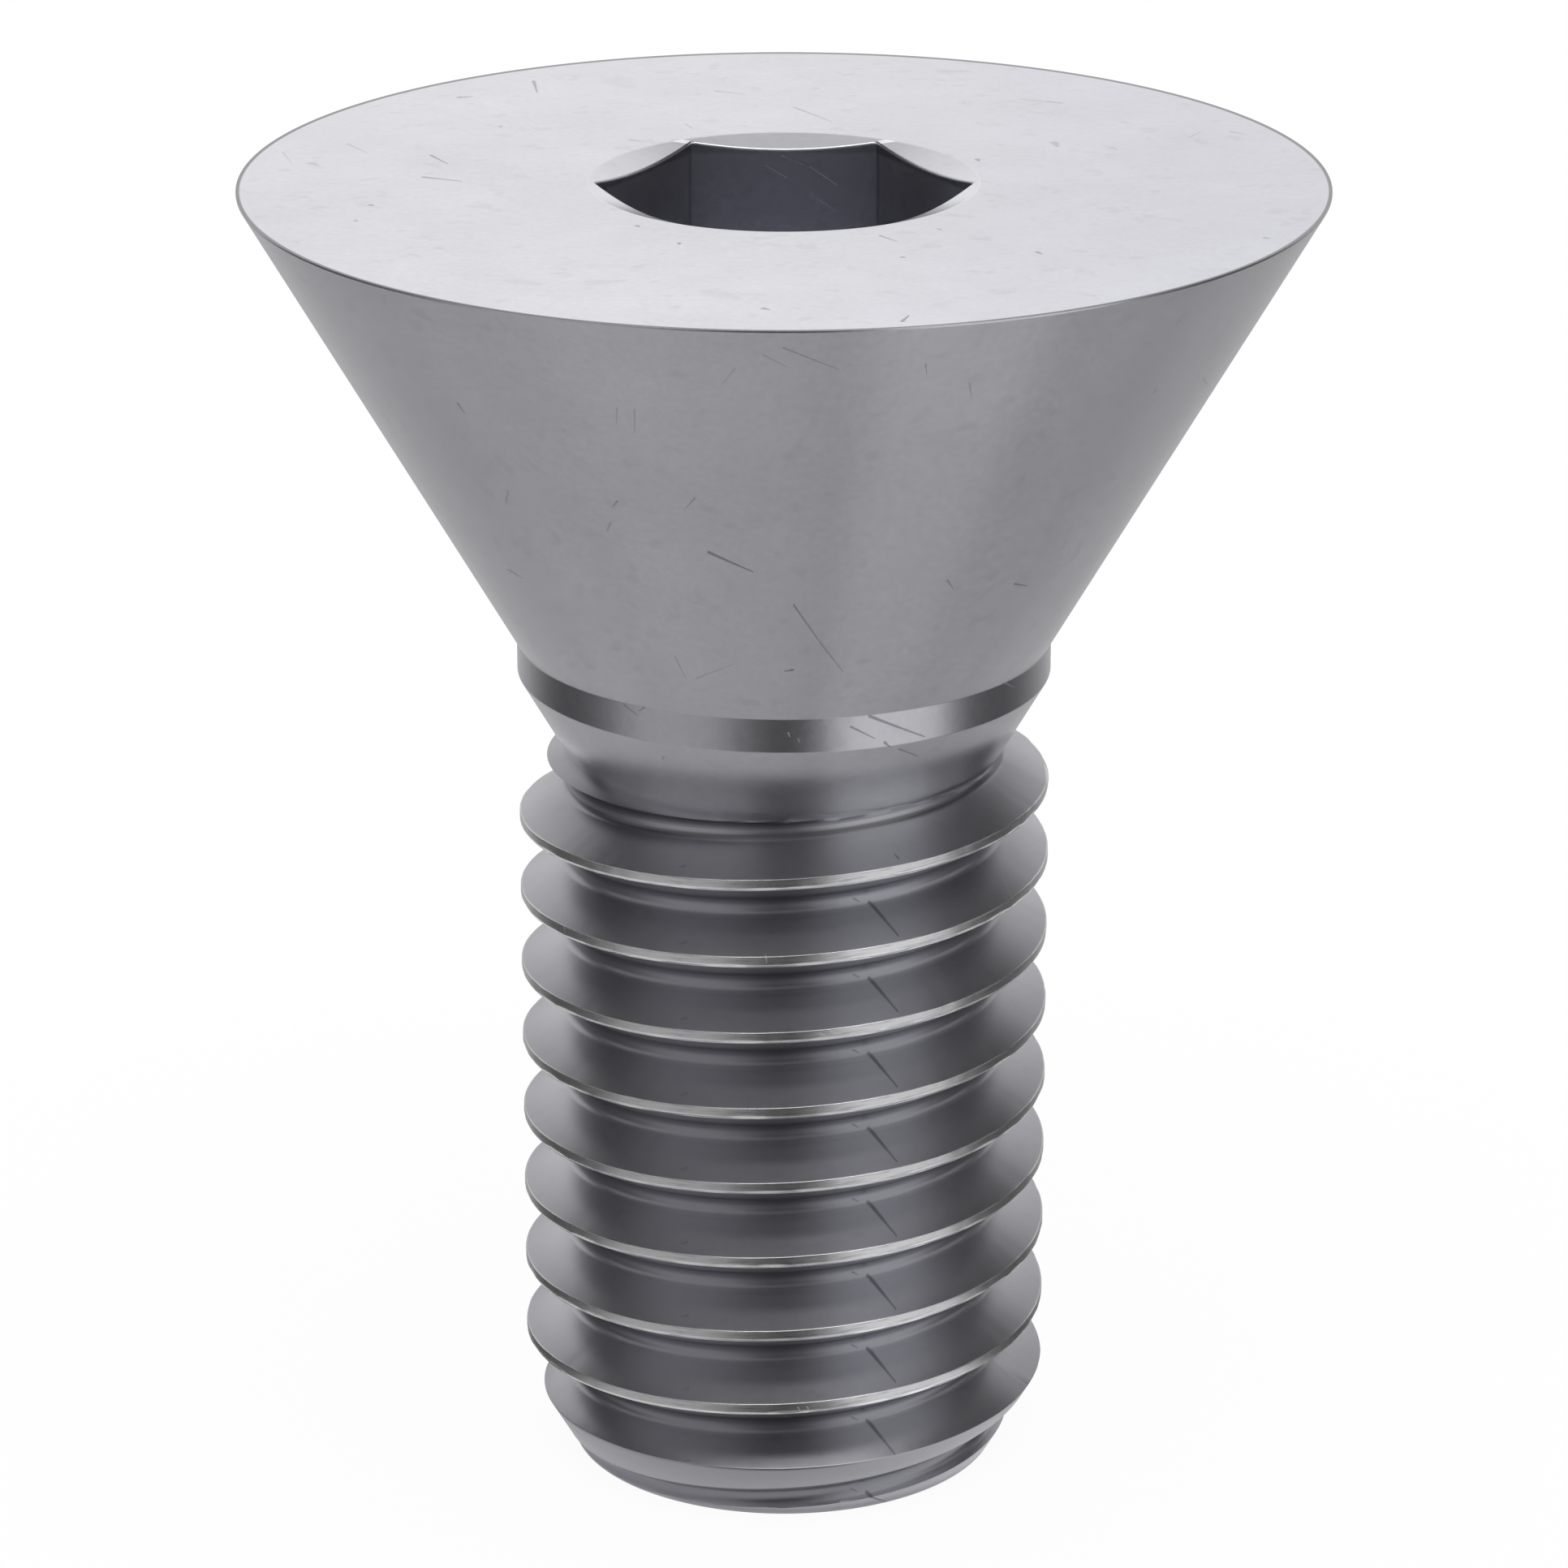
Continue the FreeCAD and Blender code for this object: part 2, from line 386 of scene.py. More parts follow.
class Wire:
    """A shader socket that adds, multiplies and compares like a number."""

    def __init__(self, finish, socket):
        self.finish = finish
        self.socket = socket

    def _math(self, operation, first, second=0.0, clamp=False):
        settings = {"operation": operation, "use_clamp": clamp}
        return self.finish.node("ShaderNodeMath", settings, {0: first, 1: second})

    def __add__(self, other):
        return self._math("ADD", self, other)

    def __radd__(self, other):
        return self._math("ADD", other, self)

    def __sub__(self, other):
        return self._math("SUBTRACT", self, other)

    def __rsub__(self, other):
        return self._math("SUBTRACT", other, self)

    def __mul__(self, other):
        return self._math("MULTIPLY", self, other)

    def __rmul__(self, other):
        return self._math("MULTIPLY", other, self)

    def __truediv__(self, other):
        return self._math("DIVIDE", self, other)

    def __gt__(self, other):
        return self._math("GREATER_THAN", self, other)

    def __lt__(self, other):
        return self._math("LESS_THAN", self, other)

    def least(self, other):
        return self._math("MINIMUM", self, other)

    def most(self, other):
        return self._math("MAXIMUM", self, other)

    def root(self):
        return self._math("SQRT", self)

    def clamped(self):
        return self._math("ADD", self, 0.0, True)

    def fraction(self):
        return self._math("FRACT", self)

    def ramp(self, low, high):
        """0 below low, 1 above high, smooth between; low above high turns it round."""
        settings = {"interpolation_type": "SMOOTHSTEP"}
        inputs = {"Value": self, "From Min": low, "From Max": high}
        return self.finish.node("ShaderNodeMapRange", settings, inputs)

    def between(self, rise, fall):
        """1 between two ramps, 0 outside them."""
        return self.ramp(*rise) * self.ramp(*fall)


class Finish:
    """A node material: every node is made by one method, and every link with it."""

    def __init__(self, name):
        self.material = bpy.data.materials.new(name)
        self.material.use_nodes = True
        self.tree = self.material.node_tree
        self.tree.nodes.clear()

    def node(self, kind, settings=None, inputs=None, output=0):
        """A node of that kind: settings first, then its sockets' values or wires."""
        made = self.tree.nodes.new(kind)
        for name, value in (settings or {}).items():
            setattr(made, name, value)
        for name, value in (inputs or {}).items():
            if isinstance(value, Wire):
                self.tree.links.new(value.socket, made.inputs[name])
            else:
                made.inputs[name].default_value = value
        return Wire(self, made.outputs[output]) if made.outputs else None

    def parts(self, vector):
        """The three numbers of a vector, each as a wire."""
        x = self.node("ShaderNodeSeparateXYZ", None, {"Vector": vector})
        return [Wire(self, output) for output in x.socket.node.outputs]

    def blend(self, share, first, second):
        """Colour first where share is 0, second where it is 1."""
        inputs = {MIX_SHARE: share, MIX_FIRST: first, MIX_SECOND: second}
        return self.node("ShaderNodeMix", {"data_type": "RGBA"}, inputs, MIX_RESULT)

    def noise(self, place, scale, detail, roughness):
        inputs = {"Vector": place, "Scale": scale, "Detail": detail, "Roughness": roughness}
        return self.node("ShaderNodeTexNoise", None, inputs)

    def vector(self, operation, first, second, output=0):
        settings = {"operation": operation}
        return self.node("ShaderNodeVectorMath", settings, {0: first, 1: second}, output)

    def scaled(self, vector, factor):
        return self.node("ShaderNodeVectorMath", {"operation": "SCALE"}, {0: vector, "Scale": factor})

    def joined(self, x, y):
        return self.node("ShaderNodeCombineXYZ", None, {0: x, 1: y})

    def scratch(self, place, start, end, width):
        """1 along a straight scratch that thins towards its end; all in millimetres."""
        start = Vector((*start, 0))
        run = Vector((*end, 0)) - start
        offset = self.vector("SUBTRACT", place, start)
        share = self.vector("DOT_PRODUCT", offset, run / run.length_squared, NUMBER_RESULT).clamped()
        away = self.vector("DISTANCE", offset, self.scaled(run, share), NUMBER_RESULT)
        return (away / (width - share * (SCRATCH_NARROWS * width))).ramp(*SCRATCH_EDGE)

    def scratches(self, place, rows):
        """The deepest of several scratches; each row: from, to, width and depth as a share."""
        deepest = 0.0
        for start, end, width, depth in rows:
            deepest = (self.scratch(place, start, end, width) * depth).most(deepest)
        return deepest

    def surface(self, shader):
        self.node("ShaderNodeOutputMaterial", None, {"Surface": shader})
        return self.material


# ---------------------------------------------------------------- steel
HEAD_STEEL = (0.50, 0.50, 0.535, 1)
# Painted shade: the face's tone towards its right.
FACE_RIGHT_PAINTED_SHADE = (0.446, 0.446, 0.494, 1)
# Painted light: the socket's walls, lighter than the face, the side walls most.
BACK_WALL_PAINTED_LIGHT = (0.65, 0.65, 0.70, 1)
SIDE_WALL_PAINTED_LIGHT = (0.79, 0.79, 0.84, 1)
# Painted shade: the dark line in from the rim, standing for the rim's dark reflection.
RIM_PAINTED_SHADE = (0.09, 0.09, 0.10, 1)
CREST_STEEL = (0.60, 0.60, 0.61, 1)
# Painted highlight: the bright lip under the crest.
LIP_PAINTED_HIGHLIGHT = (0.93, 0.93, 0.94, 1)
# Painted shade, darkening from the flanks into the fillets and the root; the root's tone also darkens the
# crest's streaks.
FLANK_PAINTED_SHADE = (0.40, 0.40, 0.43, 1)
FILLET_PAINTED_SHADE = (0.345, 0.345, 0.375, 1)
LOW_FILLET_PAINTED_SHADE = (0.49, 0.49, 0.527, 1)
ROOT_SHADE_AND_STREAK_STEEL = (0.30, 0.30, 0.335, 1)
# Painted light: the lower neck.
NECK_PAINTED_LIGHT = (0.86, 0.86, 0.89, 1)
# Painted shade: the dark line in the first root's crease.
CREASE_PAINTED_SHADE = (0.16, 0.16, 0.17, 1)
# Bright scuffed steel, and the painted highlight line on the socket's back edge.
SCUFF_AND_HIGHLIGHT_STEEL = (0.92, 0.92, 0.92, 1)
SCRATCH_STEEL = (0.16, 0.16, 0.18, 1)

HEAD_ROUGHNESS = 0.23
THREAD_ROUGHNESS = 0.34
CREST_SMOOTHER = 0.10
GRAIN_ROUGHNESS = 0.06
SCRATCH_ROUGHNESS = 0.10
BRIGHT_ROUGHNESS = 0.20

# Each noise: its scale in a millimetre, its detail and its roughness.
CLOUDS = (0.5, 6.0, 0.66)
FRECKLES = (2.3, 1.0, 0.5)
GRAIN = (7.0, 3.0, 0.6)
STREAKS = (2.4, 5.0, 0.7)
STREAK_ALONG = 0.5
STREAK_ACROSS = 9.0

# The noise's values where a freckle or a streak begins and where it is full.
FRECKLE_EDGE = (0.60, 0.76)
STREAK_EDGE = (0.50, 0.66)

# How much each changes the tone, as a share, and how deep the grain is in millimetres.
CLOUD_TONE = 0.16
FRECKLE_TONE = 0.05
GRAIN_TONE = 0.14
STREAK_TONE = 0.55
FACE_CLOUDING = 1.6
THREAD_CLOUDING = 0.7
GRAIN_DEPTH = 0.0008

# A scratch narrows by this share towards its end; its edge is in widths, and the rest are shares.
SCRATCH_NARROWS = 0.6
SCRATCH_EDGE = (1.0, 0.25)
SCRATCH_TONE = 0.75
BRIGHT_SCRATCH_TONE = 0.5

# Where each tone begins and where it is full, in millimetres. On the face: across it, for the painted
# shade to the right, towards its front, for the painted light, and in from its rim, where the painted
# dark line is wider at the back.
FACE_RIGHT = (-4.0, 9.0)
FACE_FRONT = (-3.0, -9.0)
PAINTED_RIM_LINE = (0.085, 0.05)
PAINTED_RIM_LINE_WIDER_AT_BACK = 0.08

# By height: on the seat, whose top is painted lighter, on the neck, which is painted light, and below the
# socket's mouth.
SEAT_TOP = (21.5, 24.0)
NECK = (COLLAR_Z - 0.6, RELIEF_Z + 0.2)
BELOW_MOUTH = (LENGTH - 0.2, LENGTH - 0.3)

# The socket's back wall, from and to on y, and the painted highlight line on its edge, by depth below the
# mouth.
BACK_WALL_FROM = SOCKET_HALF - 0.1
BACK_WALL_TO = SOCKET_HALF + 0.03
PAINTED_SOCKET_HIGHLIGHT = (0.05, 0.03)

# The thread's crest and root fillet, by radius, and by height over the crest's centre.
CREST_RADIUS = (THREAD_R - 0.10, THREAD_R - 0.05)
CREST_TOP = (CREST_FLAT / 2 + 0.02, CREST_FLAT / 2 + 0.005)
CREST_UNDERSIDE = (-0.03, -0.08)
FILLET_TOP = ROOT_R + 0.1

# Places on the thread by height, where painted light and shade change; those in pairs rise and fall.
CREST_FROM = (1.6, 1.9)
LOW_FILLETS = (13.6, 9.0)
TOP_TURN = ((10.8, 12.0), (13.2, 12.6))
MIDDLE_TURNS = ((10.5, 9.0), (5.5, 7.0))
LAST_TURN = (2.8, 1.6)

# The first root under the neck, by height, and its crease, by height over the crest's centre: a dark line
# of painted shade along the crease, with painted light above it.
FIRST_ROOT = (RELIEF_Z - 0.65, RELIEF_Z - 0.60)
CREASE = ((0.56, 0.60), (0.68, 0.64))
ABOVE_CREASE = (0.66, 0.70)

# How much lighter or darker those places are painted, as a share: painted light and painted shade.
FACE_FRONT_PAINTED_LIGHT = 0.07
SEAT_TOP_PAINTED_LIGHT = 0.05
TOP_TURN_PAINTED_LIGHT = 0.10
MIDDLE_PAINTED_SHADE = 0.04
LAST_TURN_PAINTED_SHADE = 0.11
ABOVE_CREASE_PAINTED_LIGHT = 0.5


def at_side(degrees, height):
    """A place on the side: the way round to it from the front towards +X, and its height."""
    if height > SEAT_Z:
        radius = THREAD_R + (height - SEAT_Z) * math.tan(SEAT_ANGLE)
    else:
        radius = THREAD_R - max(0.0, COLLAR_Z - height) * math.tan(NECK_ANGLE)
    return math.radians(degrees) * radius, height


def on_flank(degrees, above_crest):
    """A place on the upper flank: the way round to it, and its height over the crest's centre."""
    radius = THREAD_R - (above_crest - CREST_FLAT / 2) / math.tan(FLANK)
    return math.radians(degrees) * radius, above_crest


def on_thread(degrees, height):
    """A place on the thread: the way round to it at the crest, and its height."""
    return math.radians(degrees) * THREAD_R, height


# Each scratch: from, to, width, depth as a share. On the face, places are x and y.
FACE_SCRATCHES = [
    ((-6.55, 1.85), (-6.20, 1.20), 0.050, 0.9),
    ((-6.60, 0.25), (-5.90, -0.05), 0.070, 0.9),
    ((-4.85, 7.60), (-4.75, 6.70), 0.060, 0.8),
    ((0.20, 5.50), (0.90, 4.40), 0.050, 0.6),
    ((5.30, 5.85), (4.55, 6.15), 0.060, 0.6),
    ((1.70, -3.85), (2.00, -4.25), 0.045, 0.9),
    ((2.00, -9.40), (2.12, -9.05), 0.060, 1.0),
    ((-8.15, 2.70), (-7.75, 2.05), 0.060, 0.35),
    ((-1.30, 6.80), (-0.75, 6.55), 0.070, 0.45),
    ((-1.85, 4.20), (-1.72, 3.85), 0.040, 0.4),
    ((-9.32, 2.10), (-9.10, 1.30), 0.040, 0.3),
    ((7.60, 3.20), (7.85, 3.65), 0.050, 0.35),
    ((8.40, 3.65), (8.65, 3.42), 0.060, 0.55),
]
FACE_PITS = [
    ((-7.45, -1.75), (-7.40, -1.78), 0.080, 0.9),
    ((-7.66, -2.80), (-7.64, -2.88), 0.070, 0.6),
    ((-2.62, -3.18), (-2.58, -3.25), 0.075, 0.9),
    ((-1.85, -4.35), (-1.85, -4.45), 0.070, 0.9),
    ((-0.35, -8.60), (-0.25, -8.68), 0.080, 0.9),
    ((2.08, -5.30), (2.12, -5.32), 0.070, 0.9),
    ((2.75, -3.40), (2.80, -3.50), 0.060, 0.6),
    ((4.45, -4.95), (4.52, -5.08), 0.070, 0.9),
    ((8.52, -4.00), (8.60, -4.05), 0.070, 0.7),
    ((3.58, 1.55), (3.60, 1.42), 0.090, 0.8),
    ((5.05, 2.80), (5.10, 2.50), 0.130, 0.5),
    ((6.10, 2.40), (6.20, 2.25), 0.120, 0.25),
    ((-8.72, 1.25), (-8.60, 1.10), 0.140, 0.4),
    ((-6.22, 6.30), (-6.00, 6.35), 0.110, 0.7),
    ((-5.35, 4.02), (-5.33, 4.08), 0.070, 0.6),
    ((-1.20, -7.60), (-0.80, -8.00), 0.350, 0.13),
    ((-3.30, -6.95), (-2.80, -6.85), 0.280, 0.15),
    ((-4.60, -6.90), (-4.20, -7.05), 0.280, 0.12),
    ((-3.20, 7.60), (-3.00, 7.10), 0.500, 0.12),
    ((3.10, 8.40), (3.60, 8.40), 0.240, 0.20),
    ((-2.85, 3.00), (-2.70, 2.90), 0.120, 0.35),
]
# Bright ticks on the thread: the way round, and the height.
THREAD_TICKS = [
    (on_thread(-54.8, 11.52), on_thread(-54.4, 11.36), 0.035, 0.9),
    (on_thread(-38.4, 11.20), on_thread(-37.9, 11.06), 0.030, 0.8),
    (on_thread(-3.8, 11.72), on_thread(-3.6, 11.60), 0.030, 0.8),
    (on_thread(57.2, 12.20), on_thread(58.0, 11.96), 0.025, 0.4),
    (on_thread(0.1, 2.28), on_thread(0.8, 2.05), 0.030, 0.8),
    (on_thread(3.0, 2.66), on_thread(3.8, 2.54), 0.030, 0.9),
    (on_thread(5.0, 2.66), on_thread(5.7, 2.55), 0.028, 0.8),
    (on_thread(7.6, 10.19), on_thread(9.2, 10.12), 0.030, 0.7),
    (on_thread(10.0, 10.22), on_thread(12.0, 10.15), 0.030, 0.7),
]
# On the seat, the collar and the neck: the way round, and the height.
SIDE_SCRATCHES = [
    (at_side(1.5, 19.0), at_side(6.2, 18.1), 0.030, 0.8),
    (at_side(6.2, 18.1), at_side(10.8, 17.4), 0.030, 0.6),
    (at_side(-10.5, 20.15), at_side(-4.5, 19.75), 0.050, 0.9),
    (at_side(0.0, 24.65), at_side(5.6, 24.18), 0.030, 0.5),
    (at_side(-2.0, 24.5), at_side(0.3, 24.25), 0.030, 0.3),
    (at_side(-5.0, 24.2), at_side(-6.5, 23.85), 0.035, 0.25),
    (at_side(25.5, 19.3), at_side(27.0, 19.08), 0.040, 0.7),
    (at_side(39.5, 18.88), at_side(43.0, 18.74), 0.040, 0.8),
    (at_side(-50.0, 18.88), at_side(-47.0, 18.80), 0.045, 0.6),
    (at_side(-39.5, 20.9), at_side(-41.5, 20.55), 0.035, 0.45),
    (at_side(-40.9, 22.70), at_side(-40.5, 22.5), 0.050, 0.6),
    (at_side(-22.0, 21.12), at_side(-22.9, 20.98), 0.040, 0.6),
    (at_side(-24.0, 20.6), at_side(-25.0, 20.4), 0.040, 0.4),
    (at_side(-11.3, 21.35), at_side(-12.8, 21.1), 0.035, 0.5),
    (at_side(-16.6, 23.2), at_side(-17.2, 22.7), 0.030, 0.4),
    (at_side(-18.6, 23.2), at_side(-19.2, 22.85), 0.030, 0.35),
    (at_side(-19.7, 17.65), at_side(-18.6, 17.15), 0.030, 0.35),
    (at_side(-16.5, 17.2), at_side(-9.0, 17.6), 0.030, 0.3),
    (at_side(1.6, 17.49), at_side(0.1, 17.46), 0.040, 0.9),
    (at_side(20.0, 23.7), at_side(20.8, 23.35), 0.030, 0.45),
    (at_side(14.6, 24.2), at_side(14.9, 24.0), 0.030, 0.5),
    (at_side(48.7, 22.7), at_side(49.6, 22.42), 0.030, 0.4),
    (at_side(61.0, 22.45), at_side(65.0, 22.15), 0.040, 0.4),
    (at_side(18.0, 16.29), at_side(30.6, 15.74), 0.045, 0.95),
    (at_side(14.0, 16.12), at_side(19.2, 15.85), 0.035, 0.8),
    (at_side(21.4, 15.75), at_side(22.6, 15.65), 0.045, 0.9),
    (at_side(25.0, 15.56), at_side(30.6, 15.3), 0.035, 0.7),
    (at_side(-35.5, 16.27), at_side(-32.0, 16.12), 0.030, 0.6),
    (at_side(-30.5, 16.3), at_side(-31.7, 16.22), 0.035, 0.6),
    (at_side(-27.2, 15.33), at_side(-27.6, 15.27), 0.040, 0.5),
]
# On the upper flank, alike on each turn below the first root.
FLANK_SCRATCHES = [
    (on_flank(22.5, 0.62), on_flank(25.5, 0.17), 0.045, 1.0),
    (on_flank(-22.3, 0.24), on_flank(-23.6, 0.21), 0.030, 0.4),
    (on_flank(19.2, 0.74), on_flank(20.2, 0.66), 0.030, 0.8),
]
# On the collar, where the steel is scuffed bright.
BRIGHT_SIDE_SCRATCHES = [
    (at_side(54.0, 16.3), at_side(57.5, 16.13), 0.030, 0.7),
    (at_side(0.9, 16.05), at_side(1.2, 15.98), 0.030, 0.8),
    (at_side(3.0, 15.93), at_side(3.2, 15.87), 0.030, 0.6),
]
# On the socket's back wall: x and height.
SOCKET_SCRATCHES = [
    ((-0.05, 24.70), (0.60, 24.42), 0.020, 0.5),
    ((0.50, 24.47), (1.00, 24.13), 0.022, 0.7),
    ((-0.32, 24.50), (0.05, 24.27), 0.018, 0.6),
    ((0.50, 23.95), (0.87, 23.70), 0.018, 0.6),
]


class Steel(Finish):
    """Bare satin steel in one region of the screw, with its places in millimetres."""

    def __init__(self, name):
        super().__init__(name)
        self.place = self.scaled(self.node("ShaderNodeTexCoord", None, None, OBJECT_PLACE), 1 / MM)
        self.x, self.y, self.z = self.parts(self.place)
        self.radius = (self.x * self.x + self.y * self.y).root()

    def angle(self, first, second):
        return self.node("ShaderNodeMath", {"operation": "ARCTAN2"}, {0: first, 1: second})

    def way_round(self):
        """Distance round the side from the front towards +X."""
        return self.angle(self.x, self.y * -1.0) * self.radius

    def satin(self, tone, roughness, dark=0.0, bright=0.0, clouding=1.0):
        """The finished material: clouding, scratches and grain over a tone."""
        cloud = self.noise(self.place, *CLOUDS) - 0.5
        freckles = self.noise(self.place, *FRECKLES).ramp(*FRECKLE_EDGE)
        grain = self.noise(self.place, *GRAIN)
        uneven = (cloud * CLOUD_TONE - freckles * FRECKLE_TONE + (grain - 0.5) * GRAIN_TONE) * clouding
        tone = self.scaled(tone, 1 + uneven)
        tone = self.blend(dark * SCRATCH_TONE, tone, SCRATCH_STEEL)
        tone = self.blend(bright * BRIGHT_SCRATCH_TONE, tone, SCUFF_AND_HIGHLIGHT_STEEL)
        roughness = roughness + (grain - 0.5) * GRAIN_ROUGHNESS
        roughness = roughness + dark * SCRATCH_ROUGHNESS + bright * BRIGHT_ROUGHNESS
        bump = self.node("ShaderNodeBump", None, {
            "Strength": 1.0,
            "Distance": MM,
            "Height": grain * GRAIN_DEPTH,
        })
        shader = self.node("ShaderNodeBsdfPrincipled", None, {
            "Base Color": tone,
            "Metallic": 1.0,
            "Roughness": roughness,
            "Normal": bump,
        })
        return self.surface(shader)


def face_steel():
    """The ground face of the head: painted shade towards its right, painted light towards its front, a
    dark line of painted shade at the rim standing for the rim's dark reflection, short scratches and
    small pits.
    """
    steel = Steel("face_steel")
    place = steel.joined(steel.x, steel.y)
    inward = HEAD_R - steel.radius - PAINTED_RIM_LINE_WIDER_AT_BACK * (steel.y / HEAD_R).clamped()
    # Painted shade: the face darkens towards its right. Painted light: it lightens towards its front.
    tone = steel.blend(steel.x.ramp(*FACE_RIGHT), HEAD_STEEL, FACE_RIGHT_PAINTED_SHADE)
    tone = steel.scaled(tone, 1 + FACE_FRONT_PAINTED_LIGHT * steel.y.ramp(*FACE_FRONT))
    # Painted shade: a dark line in from the rim stands for the rim's dark reflection, and is wider at the
    # back.
    tone = steel.blend(inward.ramp(*PAINTED_RIM_LINE), tone, RIM_PAINTED_SHADE)
    dark = steel.scratches(place, FACE_SCRATCHES + FACE_PITS)
    return steel.satin(tone, HEAD_ROUGHNESS, dark, clouding=FACE_CLOUDING)


def seat_steel():
    """The seat, the collar and the neck; the lower neck and the seat's top are lighter by painted light.
    """
    steel = Steel("seat_steel")
    place = steel.joined(steel.way_round(), steel.z)
    # Painted light: the lower neck is much lighter than the seat, and the seat's top a little lighter.
    tone = steel.blend(steel.z.ramp(*NECK), HEAD_STEEL, NECK_PAINTED_LIGHT)
    tone = steel.scaled(tone, 1 + SEAT_TOP_PAINTED_LIGHT * steel.z.ramp(*SEAT_TOP))
    dark = steel.scratches(place, SIDE_SCRATCHES)
    bright = steel.scratches(place, BRIGHT_SIDE_SCRATCHES)
    return steel.satin(tone, HEAD_ROUGHNESS, dark, bright)


def socket_steel():
    """The broached socket and its turned mouth, its walls lighter than the face by painted light, with a
    painted highlight line along the back wall's edge.
    """
    steel = Steel("socket_steel")
    at_back = steel.y > BACK_WALL_FROM
    # Painted light: the walls are lighter than the face, the side walls lighter than the back wall.
    wall = steel.blend(at_back, SIDE_WALL_PAINTED_LIGHT, BACK_WALL_PAINTED_LIGHT)
    tone = steel.blend(steel.z.ramp(*BELOW_MOUTH), HEAD_STEEL, wall)
    below_mouth = LENGTH - (MOUTH_R - steel.radius) * math.tan(MOUTH_ANGLE) - steel.z
    # Painted highlight: a bright line along the back wall's top edge, just below the mouth.
    edge = at_back * (steel.y < BACK_WALL_TO) * below_mouth.ramp(*PAINTED_SOCKET_HIGHLIGHT)
    tone = steel.blend(edge, tone, SCUFF_AND_HIGHLIGHT_STEEL)
    bright = steel.scratches(steel.joined(steel.x, steel.z), SOCKET_SCRATCHES) * at_back
    return steel.satin(tone, HEAD_ROUGHNESS, bright=bright)


def thread_steel():
    """The rolled thread: painted shade on the flanks and more in the roots, below a lighter crest; a
    painted highlight on the lip under it; painted light and shade by turn and at the first root's crease.
    """
    steel = Steel("thread_steel")
    turn = steel.angle(steel.y, steel.x) / (2 * math.pi)
    above_crest = ((steel.z / PITCH - turn + 0.5).fraction() - 0.5) * PITCH
    along_crest = steel.joined(steel.way_round() * STREAK_ALONG, above_crest * STREAK_ACROSS)
    streaks = steel.noise(along_crest, *STREAKS).ramp(*STREAK_EDGE)
    on_crest = steel.radius.ramp(*CREST_RADIUS) * steel.z.ramp(*CREST_FROM) * above_crest.ramp(*CREST_TOP)
    # Painted highlight: the lip under the crest is painted bright.
    painted_lip_highlight = on_crest * above_crest.ramp(*CREST_UNDERSIDE)
    # Painted shade: the flanks are darker than the crest and darken further into the root fillet and the
    # root; the fillet's shade is lighter lower down the screw.
    fillet = steel.blend(steel.z.ramp(*LOW_FILLETS), FILLET_PAINTED_SHADE, LOW_FILLET_PAINTED_SHADE)
    tone = steel.blend(steel.radius.ramp(FILLET_TOP, THREAD_R), fillet, FLANK_PAINTED_SHADE)
    tone = steel.blend(steel.radius.ramp(FILLET_TOP, ROOT_R), tone, ROOT_SHADE_AND_STREAK_STEEL)
    tone = steel.blend(on_crest, tone, CREST_STEEL)
    tone = steel.blend(painted_lip_highlight, tone, LIP_PAINTED_HIGHLIGHT)
    tone = steel.blend(on_crest * streaks * STREAK_TONE, tone, ROOT_SHADE_AND_STREAK_STEEL)
    # Painted light on the top turn; painted shade on the middle turns and the last turn.
    lighter = TOP_TURN_PAINTED_LIGHT * steel.z.between(*TOP_TURN)
    darker = MIDDLE_PAINTED_SHADE * steel.z.between(*MIDDLE_TURNS)
    darker = darker + LAST_TURN_PAINTED_SHADE * steel.z.ramp(*LAST_TURN)
    tone = steel.scaled(tone, 1 + lighter - darker)
    first_root = steel.z.ramp(*FIRST_ROOT)
    above_crease = first_root * above_crest.ramp(*ABOVE_CREASE)
    # Painted light: a lighter band above the first root's crease. Painted shade: a dark line along the
    # crease.
    tone = steel.blend(above_crease * ABOVE_CREASE_PAINTED_LIGHT, tone, HEAD_STEEL)
    tone = steel.blend(first_root * above_crest.between(*CREASE), tone, CREASE_PAINTED_SHADE)
    dark = steel.scratches(steel.joined(steel.way_round(), above_crest), FLANK_SCRATCHES)
    bright = steel.scratches(steel.joined(steel.way_round(), steel.z), THREAD_TICKS)
    roughness = THREAD_ROUGHNESS - CREST_SMOOTHER * on_crest
    return steel.satin(tone, roughness, dark * (1 - first_root), bright, THREAD_CLOUDING)


# ---------------------------------------------------------------- the screw
FINISHES = [thread_steel, seat_steel, face_steel, socket_steel]


def finish_at(place):
    """The finish that a face of the screw takes, by where its middle lies."""
    if place.z < RELIEF_Z:
        return thread_steel
    if math.hypot(place.x, place.y) < MOUTH_R:
        return socket_steel
    return face_steel if place.z > LENGTH - MERGE else seat_steel


def make_screw():
    """The screw with its true edges, thread and finish, in place of the plain solid."""
    screw = bpy.data.objects.new("steel_screw", screw_mesh())
    bpy.context.scene.collection.objects.link(screw)
    for finish in FINISHES:
        screw.data.materials.append(finish())
    for face in screw.data.polygons:
        face.material_index = FINISHES.index(finish_at(face.center / MM))
    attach(screw, "root")
    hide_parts(SCREW)


# ---------------------------------------------------------------- studio
FLOOR_SIZE = 2000
FLOOR_WHITE = (0.97, 0.97, 0.97, 1)
FLOOR_GLOW = 0.94
SKY = 0.88
WHITE = (1, 1, 1, 1)

# Soft boxes: azimuth in degrees from the front towards +X, elevation, distance, width, height and
# radiance, where 1 is white.
LAMPS = [
    ("back_box", 180, 20, 400, 290, 260, 0.34),
    ("top_box", 6, 67, 240, 200, 40, 3.6),
]


